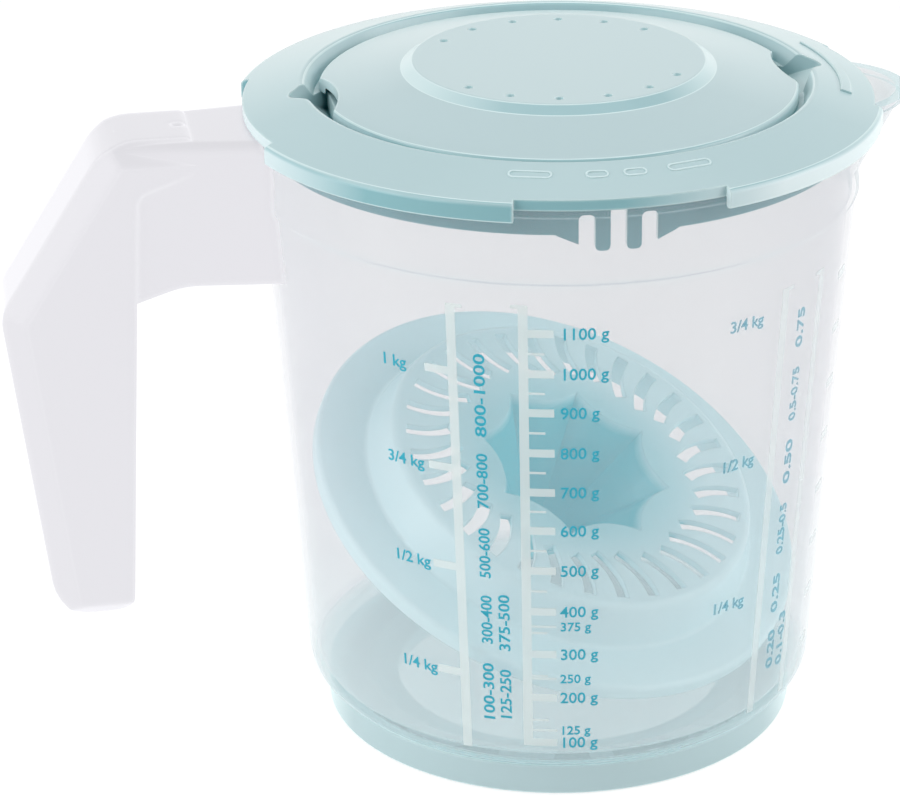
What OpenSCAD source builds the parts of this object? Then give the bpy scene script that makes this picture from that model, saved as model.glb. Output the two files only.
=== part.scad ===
// Measuring jug with a two-part lid and a citrus juicer insert.
// The jug stands on z = 0 with its axis on Z, its handle at -X and its spout at +X.

/* [Jug] */
// Height of the rim above the table
rim_h = 142.4; // [134:0.2:160]
// Outer radius of the wall at the foot, before its corner is rounded
wall_foot_r = 57.3; // [55:0.1:60]
// Outer radius of the wall just under the collar
wall_top_r = 65.3; // [63:0.1:70]
// Thickness of the wall
wall = 1.6; // [1.2:0.1:2.2]
// Thickness of the floor
floor_t = 1.8; // [1.4:0.1:3]
// Radius of the rounded bottom corner
corner_r = 6.8; // [5:0.1:8]
// Distance from the foot ring's cuff to the flat part of the floor
floor_margin = 6.4; // [5.4:0.1:12]
// Rise of the floor from its flat part to the wall
floor_rise = 5; // [5:0.1:8]
// Height of the collar
collar_h = 17.4; // [14:0.2:24]
// How far the collar stands out from the wall
collar_step = 0.7; // [0.4:0.1:1.4]
// How far the rim lip stands out from the collar
lip_out = 1.7; // [0.8:0.1:2.4]
// Height of the rim lip
lip_h = 1.8; // [1:0.1:3]

/* [Spout] */
// Outer radius of the rounded spout
spout_r = 19; // [14:0.5:20]
// Reach of the spout beyond the collar
spout_out = 11.5; // [7:0.5:16]
// Lean of the spout from the vertical
spout_lean = 29; // [22:0.5:36]

/* [Handle] */
// Drop of the bridge's top below the rim
bridge_drop = 0.4; // [0.4:0.1:6]
// Width of the bridge between grip and jug
bridge_w = 20.6; // [18:0.2:23]
// Angle at which each side of the bridge widens towards the jug
bridge_flare = 7; // [0:0.5:10]
// Depth of the bridge at the jug
bridge_deep = 31.8; // [22:0.2:36]
// Height of the grip's top above the bridge's top
grip_rise = 0.8; // [0.4:0.1:4]
// Width of the grip
grip_w = 25; // [22:0.5:30]
// Thickness of the handle's walls
grip_wall = 2.5; // [2:0.1:3]
// Depth of the slanted edges of the grip, along its side faces
edge_deep = 5.4; // [3:0.1:7]
// Depth of the slanted edges of the grip, along its back
edge_wide = 3.4; // [2:0.1:5]
// Distance from the jug axis to the outermost point of the grip
grip_reach = 123.3; // [118:0.1:132]
// Drop from the grip's top to its outermost point
knee_drop = 37.9; // [28:0.1:46]
// Distance from the jug axis to the crown, where the top of the grip turns down
crown_x = 98.9; // [97:0.1:106]
// Rounding of the crown
crown_r = 12; // [6:0.5:14]
// Length of the grip, from its top to its lower end
grip_len = 110; // [90:0.2:122]
// Distance from the jug axis to the outer side of the grip's lower end
heel_x = 115; // [112:0.2:120]
// Distance from the jug axis to the inner side of the grip's lower end
toe_x = 98.4; // [95:0.2:101]
// Distance from the jug axis to the inner side of the grip, under its nose
grip_inner_x = 93; // [90:0.2:94.6]
// Distance from the jug axis to the nose of the grip on the bridge
nose_x = 79.8; // [76:0.2:84]
// Depth of the grip's side at the tip of the nose
nose_deep = 7.2; // [5:0.1:9]
// Depth of the grip's side where the nose leaves the grip
nose_root = 11.9; // [10:0.1:16]

/* [Base ring] */
// How far the foot ring stands back from the wall
foot_inset = 3.8; // [2:0.1:5]
// Height of the foot ring
foot_h = 7.2; // [6:0.1:9]
// Radius of the opening in the foot ring
foot_bore_r = 37.5; // [30:0.5:41]
// Width of the band of the foot ring that touches the table
tread_w = 8.5; // [4:0.5:10]
// Height of the jug floor's underside above the table
floor_lift = 4.4; // [3:0.1:5]

/* [Lid ring] */
// Thickness of the lid ring at its outer edge
lid_edge_t = 1.8; // [1.4:0.1:3]
// Rise of the lid ring's top from its outer edge to its crest
lid_rise = 4.3; // [2.5:0.1:5.5]
// Drop from the crest to the cover's seat
seat_drop = 4.1; // [3:0.1:4.6]
// Width of the slope from the cover's edge up to the crest
crest_w = 3.2; // [2.6:0.1:5]
// Thickness of the lid ring's plate
plate_t = 1.8; // [1.4:0.1:2.4]
// Depth of the outer skirt below the jug rim
skirt_drop = 2.2; // [1.8:0.1:6]
// Thickness of the skirt, the plug and the throat
lid_wall = 1.6; // [1.2:0.1:2]
// Half angle of each of the four cut-outs in the skirt
notch_half = 18.5; // [17:0.5:24]
// How far the plate's edge stands back in the cut-outs
notch_back = 1.9; // [1.8:0.1:4]
// Depth of the plug below the jug rim
plug_drop = 7; // [6:0.1:12]
// Width of the seat, from the edge of the cover to the opening in the lid ring
seat_w = 4.7; // [3.6:0.1:8]
// Depth of the throat's lip below the cover's seat
throat_drop = 4.2; // [3:0.1:8]
// Height of the raised rib in front of the spout
rib_h = 0.5; // [0.3:0.1:1.5]
// Width of the raised rib in front of the spout
rib_w = 2.4; // [1.4:0.1:3]

/* [Pouring comb] */
// Width of each comb slot
comb_slot_w = 3.4; // [2:0.1:4]
// Distance from one comb slot to the next
comb_pitch = 6.5; // [5.6:0.1:8]
// Reach of the comb teeth below the plug
comb_drop = 3.4; // [2:0.1:6]
// Height of the outer comb slots above the plug's lower edge
comb_slot_h = 4.4; // [2.5:0.1:5.5]

/* [Finger recesses] */
// Distance from the axis to the tip of each recess
scoop_tip_r = 59.8; // [57.6:0.2:60.4]
// Half width of each recess at the throat
scoop_half_w = 13; // [9:0.2:14]
// Depth of each recess at the throat, below the crest
scoop_depth = 8.9; // [6.5:0.1:10]

/* [Cover] */
// Radius of the cover
cover_r = 52.3; // [51:0.1:54]
// Height of the cover's rim above its seat
cover_rim_h = 3; // [2.2:0.1:4]
// Thickness of the cover
cover_t = 1.6; // [1.2:0.1:2]
// Rise from the cover's rim to the foot of the plateau
cover_rise = 3.4; // [1:0.1:6]
// Radius of the raised plateau
plateau_r = 31.8; // [28:0.1:38]
// Height of the plateau's sloping side
plateau_h = 1.8; // [1:0.1:5]
// Depth of the cover's plug below its seat
cover_drop = 4.9; // [3:0.1:9]
// Depth of the two finger notches in the cover's rim
cover_notch = 3.8; // [2:0.1:4]
// Radius of the finger notches
cover_notch_r = 29.5; // [14:0.5:40]
// Distance from the axis to the ring of dimples
dimple_ring_r = 28; // [20:0.1:29]
// Radius of each dimple
dimple_r = 1.1; // [0.6:0.1:1.5]
// Angle from one dimple to the next
dimple_pitch = 21.5; // [14:0.5:24]

/* [Juicer] */
// Thickness of the juicer's walls
juicer_t = 1.6; // [1.2:0.1:2.2]
// Width of the juicer's flange
flange_w = 11.5; // [8:0.1:14]
// Depth of the flange's turned edge
flange_turn = 3; // [2:0.1:5]
// How far the bowl's wall leans in from the flange to the strainer floor
bowl_lean = 3.4; // [1:0.1:5]
// Depth of the bowl
bowl_h = 10; // [6:0.5:14]
// Radius of the reamer's ribs at its foot
reamer_r = 29; // [23:0.2:31]
// Height of the reamer
reamer_h = 33; // [28:0.5:38]
// Number of ribs on the reamer
reamer_ribs = 8; // [6:1:10]
// Depth of the flutes between the ribs, at the foot
flute_depth = 5.5; // [3:0.1:7]
// Radius of the flutes
flute_r = 17.3; // [14:0.1:20]
// Width of the strainer slots
slot_w = 2.9; // [1.5:0.1:3.4]
// Tilt of the juicer as it lies in the jug
juicer_tilt = 28; // [20:0.5:32]
// Bearing of the juicer's low side
juicer_bearing = -54; // [-90:1:0]
// Height of the middle of the juicer's flange
juicer_z = 48.4; // [46:0.2:60]

/* [Hidden] */
$fn = 96;

// Clearances between pieces that lift apart
plug_gap = 0.4;
skirt_gap = 1.3;
rim_gap = 1.1;
flange_gap = 0.5;

// Roundings, and lengths that only have to be long enough to cut through
tiny = 0.3;
soft = 0.5;
round_small = 0.8;
round_mid = 1.2;
past = 1;
hair = 0.05;
far = 200;
quarter = 90;
half_turn = 180;
full_turn = 360;

// Heights and radii that follow from the sizes above
bridge_top = rim_h - bridge_drop;
grip_top = bridge_top + grip_rise;
collar_z = rim_h - collar_h;
collar_r = wall_top_r + collar_step;
collar_in_r = collar_r - wall;
lip_r = collar_r + lip_out;
cuff_r = wall_foot_r - corner_r;
foot_r = wall_foot_r - foot_inset;
floor_z = floor_lift + floor_t;
lid_r = lip_r + skirt_gap + lid_wall;
lid_edge_z = rim_h + lid_edge_t;
crest_r = cover_r + crest_w;
crest_z = lid_edge_z + lid_rise;
seat_z = crest_z - seat_drop;
seat_out_r = cover_r + rim_gap;
plug_r = collar_in_r - plug_gap;
throat_r = cover_r - seat_w;
throat_out_r = throat_r + lid_wall;
cover_plug_r = throat_r - plug_gap;
cover_top_z = seat_z + cover_rim_h;
plateau_z = cover_top_z + cover_rise + plateau_h;

// Radius of the wall's outside, and height of the lid ring's top
function wall_r(z) = wall_foot_r + (wall_top_r - wall_foot_r) * (z - foot_h) / (collar_z - foot_h);
function lid_top(r) = lid_edge_z + (lid_r - r) * lid_rise / (lid_r - crest_r);

// A corner [x, y, radius] between its neighbours, as the points of an arc
function flat(p) = [p[0], p[1]];
function unit(v) = v / norm(v);
function corner_arc(a, b, c, steps) =
    let (
        to_a = unit(flat(a) - flat(b)),
        to_c = unit(flat(c) - flat(b)),
        half = acos(to_a * to_c) / 2,
        middle = flat(b) + unit(to_a + to_c) * b[2] / sin(half),
        first = flat(b) + to_a * b[2] / tan(half) - middle,
        last = flat(b) + to_c * b[2] / tan(half) - middle,
        start = atan2(first[1], first[0]),
        sweep = (atan2(last[1], last[0]) - start + full_turn + half_turn) % full_turn - half_turn
    )
    [for (i = [0 : steps])
        let (a = start + sweep * i / steps) middle + b[2] * [cos(a), sin(a)]];

// An outline whose corners [x, y, radius] are rounded
function rounded(p, steps = 6) =
    let (n = len(p))
    [for (i = [0 : n - 1])
        each (p[i][2] == 0
            ? [flat(p[i])]
            : corner_arc(p[(i + n - 1) % n], p[i], p[(i + 1) % n], steps))];

// Corners [x, y, radius] of an anticlockwise outline, all moved inwards by d
function left_of(a, b) = let (u = unit(flat(b) - flat(a))) [-u[1], u[0]];
function inset_corner(a, b, c, d) =
    let (
        n1 = left_of(a, b),
        n2 = left_of(b, c),
        p = flat(b) + (n1 + n2) * d / (1 + n1 * n2)
    )
    [p[0], p[1], max(tiny, b[2] - d)];
function inset(p, d) =
    let (n = len(p))
    [for (i = [0 : n - 1]) inset_corner(p[(i + n - 1) % n], p[i], p[(i + 1) % n], d)];

// The same corners with no rounding over r
function capped(p, r) = [for (c = p) [c[0], c[1], min(c[2], r)]];

// A solid of revolution from corners [radius, height, rounding]
module turned(profile) {
    rotate_extrude() polygon(rounded(profile));
}

// A part of a solid of revolution, from one bearing to another
module turned_arc(from, to, profile) {
    rotate([0, 0, from]) rotate_extrude(angle = to - from) polygon(rounded(profile));
}

// An outline in X and Z, pulled out along Y to the width w
module sideways(w) {
    rotate([quarter, 0, 0]) linear_extrude(w, center = true) children();
}

// The jug: outer form, cavity and spout

module jug_outer() {
    turned([
        [0, floor_lift, 0],
        [cuff_r, floor_lift, 0],
        [cuff_r, foot_h, 0],
        [wall_foot_r, foot_h, corner_r],
        [wall_top_r, collar_z, 0],
        [collar_r, collar_z + collar_step, 0],
        [collar_r, rim_h - lip_h - lip_out / 2, soft],
        [lip_r, rim_h - lip_h, soft],
        [lip_r, rim_h, tiny],
        [0, rim_h, 0],
    ]);
}

module jug_cavity() {
    corner_z = floor_z + floor_rise;
    turned([
        [0, floor_z, 0],
        [cuff_r - floor_margin, floor_z, corner_r / 2],
        [wall_r(corner_z) - wall, corner_z, corner_r - round_small],
        [wall_top_r - wall, collar_z - collar_step, 0],
        [collar_in_r, collar_z, 0],
        [collar_in_r, rim_h + past, 0],
        [0, rim_h + past, 0],
    ]);
}

// A leaning round bar whose outer line passes the spout's reach at the rim
module spout_bar(r) {
    below = 2.2 * spout_r;
    translate([collar_r + spout_out - spout_r / cos(spout_lean), 0, rim_h])
        rotate([0, spout_lean, 0])
            translate([0, 0, -below])
                cylinder(h = below + spout_r, r = r);
}

// The spout's own lip, a thin slice of a wider bar under the rim
module spout_lip() {
    intersection() {
        spout_bar(spout_r + lip_out / 2);
        translate([0, -far / 2, rim_h - lip_h]) cube([far, far, lip_h]);
    }
}

module jug_body() {
    color([0.9, 0.93, 0.95, 0.6])
    difference() {
        union() {
            jug_outer();
            spout_bar(spout_r);
            spout_lip();
        }
        jug_cavity();
        spout_bar(spout_r - wall);
        translate([-far / 2, -far / 2, rim_h]) cube(far);
    }
}

// The handle: a hollow grip with slanted edges, open towards the jug, on a hollow bridge

// Side view of the grip, anticlockwise in X and Z, without its nose
grip_core = [
    [-grip_inner_x, grip_top, 0],
    [-crown_x, grip_top, crown_r],
    [-grip_reach, grip_top - knee_drop, 8],
    [-heel_x, grip_top - grip_len, 9],
    [-toe_x, grip_top - grip_len, 5],
];

// The same with the nose, which runs out over the bridge
grip_side = [
    [-nose_x, grip_top, 2 * round_mid],
    grip_core[1],
    grip_core[2],
    grip_core[3],
    grip_core[4],
    [-grip_inner_x, grip_top - nose_root, 3],
    [-nose_x - round_small, grip_top - nose_deep, 2.5],
];

// All that lies behind one side line of the grip, with slanted edges.
// Its flat faces stand a hair proud, so that only the slanted edges cut.
module edge_slab(p, q, deep, wide) {
    along = unit(flat(q) - flat(p));
    half = grip_w / 2 + hair;
    translate([p[0], 0, p[1]])
        rotate([0, atan2(along[1], -along[0]), 0])
            rotate([quarter, 0, quarter])
                linear_extrude(2 * far, center = true)
                    polygon([
                        [-half, -far],
                        [half, -far],
                        [half, hair - deep],
                        [half - wide, hair],
                        [wide - half, hair],
                        [-half, hair - deep],
                    ]);
}

module grip_solid() {
    last = len(grip_core) - 1;
    intersection() {
        sideways(grip_w) polygon(rounded(grip_side));
        intersection_for (i = [0 : last - 2])
            edge_slab(grip_core[i], grip_core[i + 1], edge_deep, edge_wide);
        edge_slab(grip_core[last - 1], grip_core[last], edge_wide, edge_wide);
    }
}

// The hollow is narrow behind the slanted edges
module grip_hollow() {
    sideways(grip_w - 2 * grip_wall - 2 * edge_wide)
        polygon(rounded(inset(capped(grip_core, 2 * grip_wall), grip_wall)));
}

// The wide opening of the hollow grip on the jug's side, below the bridge
module grip_mouth() {
    low = grip_top - grip_len + 3 * grip_wall;
    high = bridge_top - bridge_deep - 4 * grip_wall;
    slope = (grip_reach - heel_x) / (grip_len - knee_drop);
    back = grip_wall + edge_deep / 2;
    low_x = heel_x + 3 * grip_wall * slope - back;
    high_x = low_x + (high - low) * slope;
    open_x = grip_inner_x - grip_wall;
    sideways(grip_w - 2 * grip_wall) polygon(rounded([
        [-open_x, low, 0],
        [-open_x, high, 0],
        [-high_x, high, 2],
        [-low_x, low, 2],
    ]));
}

// Two slanted sides meet in the bridge; its underside falls in a long curve towards the grip
module bridge_solid() {
    low = bridge_top - bridge_deep;
    sweep_x = grip_inner_x - 9;
    sweep_r = 20;
    sweep_slope = 0.37;
    end_x = grip_inner_x + 2 * grip_wall;
    end_drop = (end_x + past - sweep_x) * sweep_slope;
    difference() {
        intersection_for (side = [0, 1])
            mirror([0, side, 0])
                translate([-end_x, bridge_w / 2, 0])
                    rotate([0, 0, bridge_flare])
                        rotate([quarter, 0, quarter])
                            linear_extrude(end_x)
                                polygon(rounded([
                                    [-2 * bridge_w, low - 2 * end_drop, 0],
                                    [0, low - 2 * end_drop, 0],
                                    [0, bridge_top, 2],
                                    [-2 * bridge_w, bridge_top, 0],
                                ]));
        sideways(4 * bridge_w) polygon(rounded([
            [past, low, 0],
            [-sweep_x, low, sweep_r],
            [-end_x - past, low - end_drop, 0],
            [-end_x - past, low - 3 * end_drop, 0],
            [past, low - 3 * end_drop, 0],
        ]));
    }
}

// The bridge is hollow from below
module bridge_hollow() {
    near_x = lip_r + grip_wall;
    far_x = grip_inner_x - grip_wall / 2;
    low = bridge_top - 2 * bridge_deep;
    sideways(bridge_w - 2 * grip_wall) polygon(rounded([
        [-near_x, bridge_top - grip_wall, 2],
        [-far_x, bridge_top - grip_wall, 2],
        [-far_x, low, 0],
        [-near_x, low, 0],
    ]));
}

module jug_handle() {
    gate_r = 1.6;
    gate_x = nose_x + 2 * gate_r;
    color([0.93, 0.94, 0.96, 0.8])
    difference() {
        union() {
            grip_solid();
            bridge_solid();
        }
        grip_hollow();
        grip_mouth();
        bridge_hollow();
        jug_outer();
        translate([-gate_x, 0, grip_top + gate_r / 3]) sphere(r = gate_r, $fn = 24);
    }
}

// The foot ring: a cuff round the foot of the jug

module base_ring() {
    tread_lift = 0.6;
    tread_r = foot_r - tread_w;
    color([0.64, 0.76, 0.78])
    turned([
        [foot_bore_r, tread_lift, 0],
        [tread_r - tread_lift, tread_lift, 0],
        [tread_r, 0, 0],
        [foot_r, 0, round_small],
        [foot_r, foot_h, soft],
        [cuff_r, foot_h, 0],
        [cuff_r, floor_lift, 0],
        [foot_bore_r, floor_lift, 0],
    ]);
}

// The lid ring: a plate on the jug's rim, with a skirt outside and a plug inside

module ring_turned() {
    plug_in_r = plug_r - lid_wall;
    crest_in_r = crest_r + plate_t / 2;
    turned([
        [throat_r, seat_z - throat_drop, soft],
        [throat_out_r, seat_z - throat_drop, soft],
        [throat_out_r, seat_z - plate_t, soft],
        [seat_out_r + rim_gap, seat_z - plate_t, round_small],
        [crest_in_r, lid_top(crest_in_r) - plate_t, round_small],
        [plug_in_r, lid_top(plug_in_r) - plate_t, soft],
        [plug_in_r, rim_h - plug_drop, soft],
        [plug_r, rim_h - plug_drop, soft],
        [plug_r, rim_h, 0],
        [lid_r - lid_wall, rim_h, 0],
        [lid_r - lid_wall, rim_h - skirt_drop, soft],
        [lid_r, rim_h - skirt_drop, soft],
        [lid_r, lid_edge_z, round_mid],
        [crest_r, crest_z, round_mid],
        [seat_out_r, seat_z, tiny],
        [throat_r, seat_z, tiny],
    ]);
}

// Four cut-outs in the skirt clear the spout, the handle and a turned lid
module skirt_notches() {
    back_r = lid_r - notch_back;
    low = rim_h - skirt_drop - past;
    for (turn = [0 : 3])
        rotate([0, 0, turn * quarter])
            turned_arc(-notch_half, notch_half, [
                [back_r, low, 0],
                [lid_r + past, low, 0],
                [lid_r + past, crest_z, 0],
                [back_r, crest_z, 0],
            ]);
}

// Front view of what hangs below the plug: two sloping shoulders and two rounded teeth
module comb_outline() {
    low = rim_h - plug_drop;
    shoulder_x = comb_pitch + comb_slot_w / 2;
    shoulder_w = 1.3 * comb_drop;
    shoulder_h = comb_drop * 0.55;
    tooth_w = comb_pitch - comb_slot_w;
    for (side = [-1, 1]) {
        polygon([
            [side * (shoulder_x + shoulder_w), low],
            [side * shoulder_x, low - shoulder_h],
            [side * shoulder_x, low + past],
            [side * (shoulder_x + shoulder_w), low + past],
        ]);
        translate([side * comb_pitch / 2, low])
            polygon(rounded([
                [-tooth_w / 2, -comb_drop, tooth_w / 3],
                [tooth_w / 2, -comb_drop, tooth_w / 3],
                [tooth_w / 2, past, 0],
                [-tooth_w / 2, past, 0],
            ]));
    }
}

module comb_band() {
    intersection() {
        turned_arc(-quarter - notch_half, -quarter + notch_half, [
            [plug_r - lid_wall, rim_h - plug_drop - comb_drop - past, 0],
            [plug_r, rim_h - plug_drop - comb_drop - past, 0],
            [plug_r, rim_h - plug_drop + past, 0],
            [plug_r - lid_wall, rim_h - plug_drop + past, 0],
        ]);
        translate([0, -plug_r / 2, 0]) sideways(plug_r + 2 * past) comb_outline();
    }
}

// Slots through the plug, between the teeth; the middle one reaches the rim
module comb_slots() {
    low = rim_h - plug_drop - past;
    through = 2 * lid_wall + 2 * past;
    for (i = [-1 : 1]) {
        top = i == 0 ? rim_h : rim_h - plug_drop + comb_slot_h;
        translate([i * comb_pitch, -plug_r + lid_wall, 0])
            sideways(through) polygon(rounded([
                [-comb_slot_w / 2, low, 0],
                [comb_slot_w / 2, low, 0],
                [comb_slot_w / 2, top, comb_slot_w / 3],
                [-comb_slot_w / 2, top, comb_slot_w / 3],
            ]));
    }
}

// A wedge, triangular in plan, that deepens towards the throat; d is the wall round it
module scoop(d) {
    back_r = throat_out_r - d;
    low = crest_z - scoop_depth - d;
    high = crest_z + 2 * past;
    slope = scoop_half_w / (scoop_tip_r - throat_out_r);
    slant = norm([slope, 1]);
    tip_r = scoop_tip_r + d * slant / slope;
    half = scoop_half_w + d * (slope + slant);
    intersection() {
        translate([0, 0, low])
            linear_extrude(high - low)
                polygon(rounded([
                    [back_r, -half, 0],
                    [tip_r, 0, 3],
                    [back_r, half, 0],
                ]));
        sideways(4 * scoop_half_w) polygon([
            [back_r, low],
            [tip_r, lid_top(scoop_tip_r) - d],
            [tip_r, high],
            [back_r, high],
        ]);
    }
}

// The pocket under a recess reaches up into the plate, and no further
module scoop_pocket() {
    sunk = plate_t / 2;
    intersection() {
        scoop(lid_wall);
        turned([
            [throat_r + tiny, seat_z - far / 2, 0],
            [throat_r + tiny, seat_z - sunk, 0],
            [seat_out_r, seat_z - sunk, 0],
            [crest_r, crest_z - sunk, 0],
            [plug_r, lid_top(plug_r) - sunk, 0],
            [plug_r, seat_z - far / 2, 0],
        ]);
    }
}

// A raised rib on the plate in front of the spout
module guide_rib() {
    rib_r = plug_r - lid_wall;
    low = lid_top(rib_r) - plate_t / 2;
    turned_arc(-notch_half + 2, notch_half - 2, [
        [rib_r - rib_w / 2, low, 0],
        [rib_r + rib_w / 2, low, 0],
        [rib_r + rib_w / 2, lid_top(rib_r + rib_w / 2) + rib_h, tiny],
        [rib_r - rib_w / 2, lid_top(rib_r - rib_w / 2) + rib_h, tiny],
    ]);
}

module lid_ring() {
    color([0.66, 0.78, 0.8])
    difference() {
        union() {
            difference() {
                ring_turned();
                skirt_notches();
            }
            comb_band();
            guide_rib();
            for (side = [0, half_turn])
                rotate([0, 0, side]) scoop_pocket();
        }
        comb_slots();
        for (side = [0, half_turn])
            rotate([0, 0, side]) scoop(0);
    }
}

// The cover: a domed disc with a plateau, which drops into the lid ring

module cover_turned() {
    run = plateau_h * 1.4;
    foot_x = plateau_r + run;
    plug_in_r = cover_plug_r - lid_wall;
    slope = cover_rise / (cover_r - foot_x);
    turned([
        [0, plateau_z, 0],
        [plateau_r, plateau_z, round_mid],
        [foot_x, plateau_z - plateau_h, round_mid],
        [cover_r, cover_top_z, round_mid],
        [cover_r, seat_z, tiny],
        [cover_r - cover_t, seat_z, tiny],
        [cover_r - cover_t, cover_top_z - cover_t, tiny],
        [cover_plug_r, cover_top_z - cover_t, tiny],
        [cover_plug_r, seat_z - cover_drop, soft],
        [plug_in_r, seat_z - cover_drop, soft],
        [plug_in_r, cover_top_z - cover_t + (cover_r - plug_in_r) * slope, soft],
        [foot_x, plateau_z - plateau_h - cover_t, soft],
        [plateau_r, plateau_z - cover_t, soft],
        [0, plateau_z - cover_t, 0],
    ]);
}

// Two rows of dimples lie across the handle line
module dimples() {
    row = 6;
    for (side = [-quarter, quarter], i = [0 : row - 1])
        rotate([0, 0, side + (i - (row - 1) / 2) * dimple_pitch])
            translate([dimple_ring_r, 0, plateau_z + dimple_r / 3]) sphere(r = dimple_r, $fn = 24);
}

module lid_cover() {
    notch_x = cover_r - cover_notch + cover_notch_r;
    color([0.74, 0.82, 0.84])
    difference() {
        cover_turned();
        dimples();
        for (side = [-1, 1])
            translate([side * notch_x, 0, seat_z - past])
                cylinder(h = cover_rim_h + cover_rise, r = cover_notch_r);
    }
}

// The juicer lies upside down: strainer floor up, reamer pointing down

flange_r = wall_r(juicer_z) - wall - flange_gap;
bowl_r = flange_r - flange_w;
strainer_r = bowl_r - bowl_lean;
bowl_top = bowl_h + juicer_t / 2;
flute_foot_r = reamer_r - flute_depth;

module bowl_shell() {
    t = juicer_t;
    turned([
        [0, bowl_top - t, 0],
        [strainer_r - t, bowl_top - t, round_mid],
        [bowl_r - t, -t / 2, round_mid],
        [flange_r - t, -t / 2, round_small],
        [flange_r - t, -flange_turn, tiny],
        [flange_r, -flange_turn, tiny],
        [flange_r, t / 2, round_mid],
        [bowl_r, t / 2, round_mid],
        [strainer_r, bowl_top, 2 * round_mid],
        [0, bowl_top, 0],
    ]);
}

// A pointed dome with its tip down and a straight neck up to the height top
module dome(r, h, top) {
    steps = 9;
    rotate_extrude() polygon(concat(
        [[0, top], [r, top]],
        [for (i = [0 : steps - 1])
            let (a = quarter * i / steps) [r * cos(a), bowl_top - h * sin(a)]],
        [[0, bowl_top - h]]
    ));
}

// The flutes between the ribs lean towards the tip; d widens them to leave a wall
module flutes(d) {
    tip_r = 4;
    lean = atan((flute_foot_r - tip_r) / reamer_h);
    for (i = [0 : reamer_ribs - 1])
        rotate([0, 0, (i + 0.5) * full_turn / reamer_ribs])
            translate([flute_foot_r + flute_r, 0, bowl_top])
                rotate([0, lean, 0])
                    cylinder(h = 3 * reamer_h, r = flute_r + d, center = true);
}

module reamer(d, top) {
    difference() {
        dome(reamer_r - d, reamer_h - d, top);
        flutes(d);
    }
}

// Curved slots in the strainer floor, four to each flute, longer where the flute is deep
module strainer_slots() {
    bend_r = 18;
    swirl = 16;
    per_flute = 4;
    margin = 2.8;
    outer = strainer_r - margin;
    for (k = [0 : reamer_ribs - 1], i = [0 : per_flute - 1]) {
        off = i - (per_flute - 1) / 2;
        inner = flute_foot_r + margin + abs(off) * juicer_t;
        reach = asin((outer - inner) / 2 / bend_r);
        rotate([0, 0, (k + 0.5 + off / per_flute) * full_turn / reamer_ribs])
            translate([(inner + outer) / 2, 0, bowl_top - 2 * juicer_t])
                rotate([0, 0, swirl])
                    translate([0, -bend_r, 0])
                        rotate([0, 0, quarter - reach])
                            rotate_extrude(angle = 2 * reach)
                                translate([bend_r - slot_w / 2, 0]) square([slot_w, 3 * juicer_t]);
    }
}

module juicer() {
    color([0.62, 0.8, 0.84, 0.8])
    translate([0, 0, juicer_z])
        rotate([0, juicer_tilt, juicer_bearing])
            difference() {
                union() {
                    bowl_shell();
                    reamer(0, bowl_top);
                }
                reamer(juicer_t, bowl_top + past);
                strainer_slots();
            }
}

jug_body();
jug_handle();
base_ring();
lid_ring();
lid_cover();
juicer();
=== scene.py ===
"""Finishes, printed scales and studio for the measuring jug with its lid and juicer."""

import math

import bmesh
import bpy
from bpy.props import FloatProperty, FloatVectorProperty, PointerProperty
from bpy.types import Operator, Panel, PropertyGroup
from mathutils import Euler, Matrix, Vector
from mathutils.bvhtree import BVHTree


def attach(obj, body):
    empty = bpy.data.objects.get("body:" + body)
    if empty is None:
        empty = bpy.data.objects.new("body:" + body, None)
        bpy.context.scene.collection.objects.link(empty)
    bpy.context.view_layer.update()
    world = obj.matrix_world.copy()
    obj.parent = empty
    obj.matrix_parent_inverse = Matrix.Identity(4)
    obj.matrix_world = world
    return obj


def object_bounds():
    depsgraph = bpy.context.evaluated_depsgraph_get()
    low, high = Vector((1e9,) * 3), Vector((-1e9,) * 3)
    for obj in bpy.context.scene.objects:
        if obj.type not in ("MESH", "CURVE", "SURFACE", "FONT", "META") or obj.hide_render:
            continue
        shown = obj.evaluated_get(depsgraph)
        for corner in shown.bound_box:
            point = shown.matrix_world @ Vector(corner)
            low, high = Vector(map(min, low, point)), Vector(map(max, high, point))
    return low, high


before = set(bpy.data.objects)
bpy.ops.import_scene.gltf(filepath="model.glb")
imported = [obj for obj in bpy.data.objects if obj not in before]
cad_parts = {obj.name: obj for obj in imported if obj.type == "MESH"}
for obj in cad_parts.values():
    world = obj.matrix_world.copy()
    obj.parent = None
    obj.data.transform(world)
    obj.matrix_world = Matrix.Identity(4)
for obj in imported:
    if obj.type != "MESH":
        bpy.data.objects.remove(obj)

bl_info = {
    "name": "Measuring jug dresser",
    "version": (1, 0, 0),
    "blender": (4, 5, 0),
    "location": "View3D > Sidebar > Jug",
    "description": "Finishes, printed scales and studio for a measuring jug with lid and juicer",
    "category": "Object",
}

CAD_BOX = [list(corner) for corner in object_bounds()]
MM = 0.001

# Printed weights: height of the middle of each line on the wall, in millimetres
GRAM_LINES = (
    (1100, 114.2), (1000, 105.0), (900, 96.0), (800, 86.6), (700, 77.3), (600, 68.1),
    (500, 58.4), (400, 48.4), (300, 37.8), (200, 26.9), (100, 15.5),
)
GRAM_EXTRAS = ((375, 44.7), (250, 31.7), (125, 18.6))
KILO_LINES = (("1", 104.1), ("3/4", 81.3), ("1/2", 57.5), ("1/4", 31.3))
SECOND_LINES = (("3/4", 111.0), ("1/2", 78.1), ("1/4", 43.5))
SECOND_TICKS = tuple(20 + 12.9 * step for step in range(8))

# Foot and top of the upright bars, in millimetres
KILO_BAR = (12.7, 119.6)
GRAM_BAR = (14.6, 120.5)
SECOND_BAR = (12.7, 116)

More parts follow.
